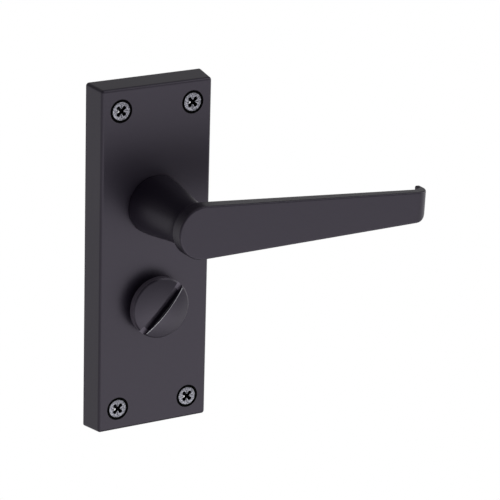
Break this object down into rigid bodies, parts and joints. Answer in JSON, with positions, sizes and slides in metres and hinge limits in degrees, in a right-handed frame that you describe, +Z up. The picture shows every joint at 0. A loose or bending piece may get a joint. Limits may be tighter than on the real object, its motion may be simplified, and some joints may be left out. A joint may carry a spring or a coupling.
{
  "type": "lever door handle with coin release",
  "caption": "Black lever handle on an oblong backplate, with a slotted coin release below the lever and a countersunk screw in each corner, for the outer side of a privacy door.",
  "frame": {"origin": "the lever's axis on the door face, where the plate's rim meets the door", "axes": "+Z up along the plate, +Y into the door along the spindles, +X along the lever towards its tip"},
  "size_m": [0.1059, 0.0664, 0.1172],
  "materials": {
    "black_casting": "satin",
    "screw_zinc": "satin",
    "bush_nylon": "matt",
    "spring_steel": "satin",
    "plated_steel": "satin"
  },
  "bodies": {
    "plate_body": {"backplate": "black_casting", "fixing_screws": "screw_zinc", "lever_bush": "bush_nylon", "return_spring": "spring_steel"},
    "lever_body": {"lever": "black_casting", "drive_plate": "plated_steel", "lever_circlip": "spring_steel", "handle_spindle": "plated_steel"},
    "release_body": {"release_turn": "black_casting", "release_cone_washer": "spring_steel", "release_flat_washer": "plated_steel", "release_circlip": "spring_steel", "privacy_spindle": "plated_steel"}
  },
  "joints": [
    {"name": "lever_swing", "type": "hinge", "parent": "plate_body", "child": "lever_body", "pos_m": [0, 0, 0], "axis": [0, 1, 0], "range_deg": [0, 50], "stiffness_Nm_per_rad": 0.6, "springref_deg": -45.84, "deforming": ["return_spring"]},
    {"name": "release_spin", "type": "hinge", "parent": "plate_body", "child": "release_body", "pos_m": [0, 0, -0.0339], "axis": [0, 1, 0], "continuous": true}
  ]
}
